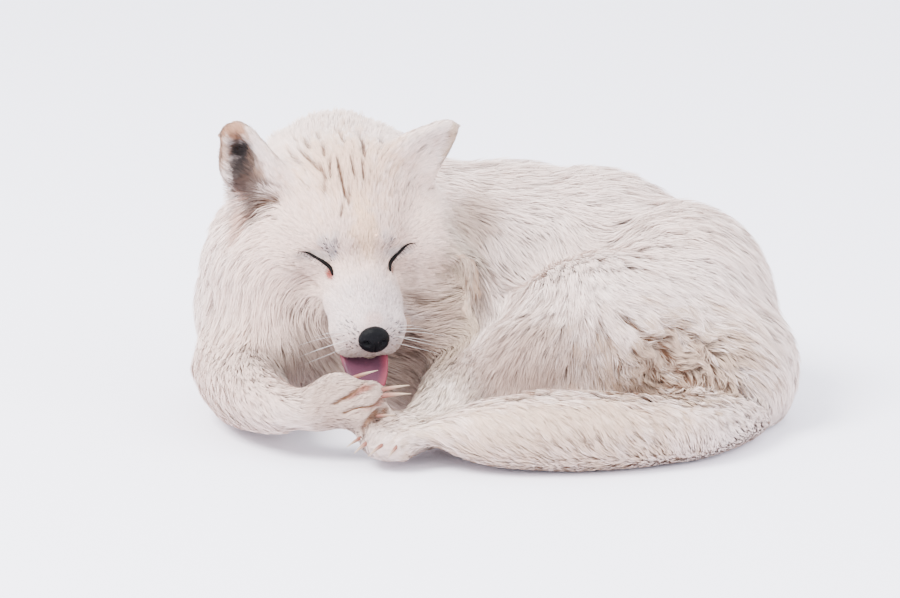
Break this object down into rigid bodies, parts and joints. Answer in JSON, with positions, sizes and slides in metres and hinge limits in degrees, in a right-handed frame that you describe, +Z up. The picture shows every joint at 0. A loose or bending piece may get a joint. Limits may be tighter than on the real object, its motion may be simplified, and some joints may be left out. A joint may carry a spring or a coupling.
{
  "type": "arctic fox",
  "caption": "Life-size model of an arctic fox in its white winter coat, lying curled with its head up, eyes shut, licking its right forepaw.",
  "frame": {"origin": "on the floor under the middle of the whole animal's box", "axes": "+X towards the rump, along the curled body; -Y towards the nose; +Z up"},
  "size_m": [0.3962, 0.3208, 0.1961],
  "materials": {
    "coat": "long soft winter fur, warm off-white, matt",
    "eyelid": "closed lids under very short off-white fur, with dark rims",
    "nose": "moist black skin",
    "tongue": "wet pink skin",
    "claw": "pale translucent horn"
  },
  "bodies": {
    "root": {"chest": "coat", "ear_left": "coat", "ear_right": "coat", "eye_left": "eyelid", "eye_right": "eyelid", "foreleg_left": "coat", "foreleg_right": "coat", "forepaw_left": "coat", "forepaw_left_claw_1": "claw", "forepaw_left_claw_2": "claw", "forepaw_left_claw_3": "claw", "forepaw_left_claw_4": "claw", "forepaw_right": "coat", "forepaw_right_claw_1": "claw", "forepaw_right_claw_2": "claw", "forepaw_right_claw_3": "claw", "forepaw_right_claw_4": "claw", "head": "coat", "hind_leg_left": "coat", "hind_leg_right": "coat", "hind_paw_left": "coat", "hind_paw_left_claw_1": "claw", "hind_paw_left_claw_2": "claw", "hind_paw_left_claw_3": "claw", "hind_paw_left_claw_4": "claw", "hind_paw_right": "coat", "hind_paw_right_claw_1": "claw", "hind_paw_right_claw_2": "claw", "hind_paw_right_claw_3": "claw", "hind_paw_right_claw_4": "claw", "loins": "coat", "lower_jaw": "coat", "neck": "coat", "nose": "nose", "rump": "coat", "tail_middle": "coat", "tail_root": "coat", "tail_tip": "coat", "tongue": "tongue"}
  },
  "joints": []
}
